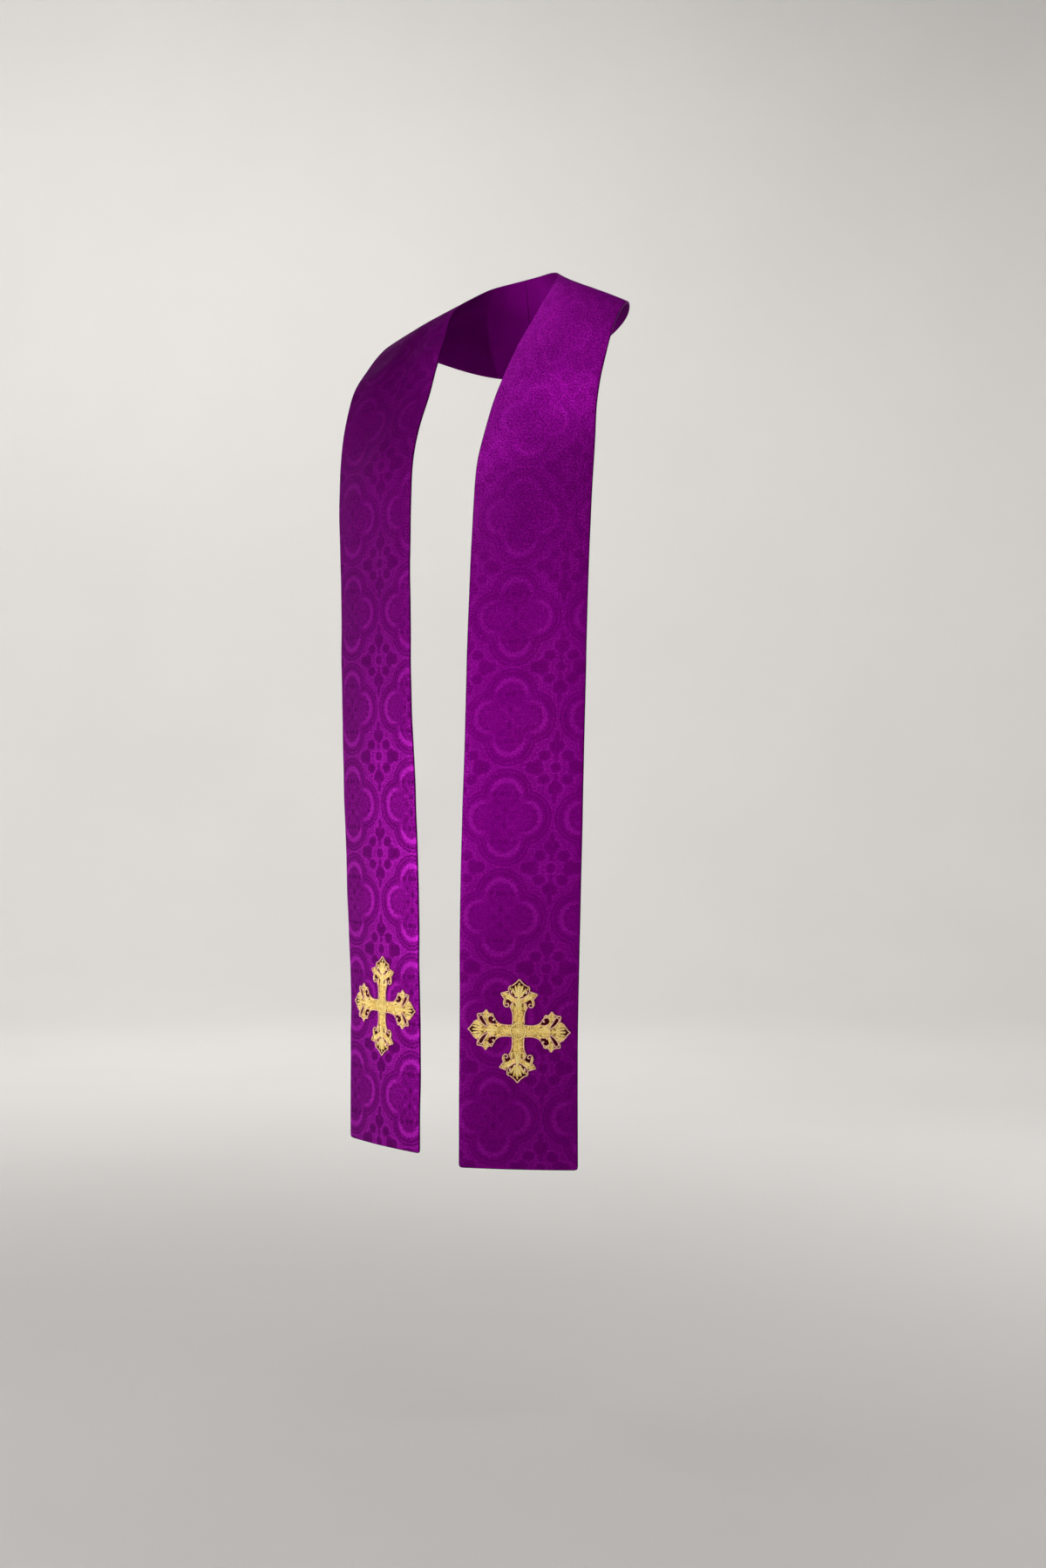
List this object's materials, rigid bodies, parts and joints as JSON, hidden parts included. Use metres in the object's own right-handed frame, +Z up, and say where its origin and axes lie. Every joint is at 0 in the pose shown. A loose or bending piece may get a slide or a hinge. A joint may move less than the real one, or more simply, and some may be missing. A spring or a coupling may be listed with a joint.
{
  "type": "clerical stole",
  "caption": "Long liturgical stole as worn: damask bands over both shoulders, joined at the nape, with an embroidered cross near each hem.",
  "frame": {"origin": "nape: the neck edge at the centre-back seam, on the inside of the cloth", "axes": "+Z up, -Y the way the wearer faces, +X the wearer's left"},
  "size_m": [0.382, 0.2306, 1.1413],
  "materials": {
    "damask": "purple figured satin damask",
    "gold_thread": "gold satin-stitch embroidery"
  },
  "bodies": {
    "root": {"stole_left": "damask", "stole_right": "damask", "cross_left": "gold_thread", "cross_right": "gold_thread"}
  },
  "joints": []
}
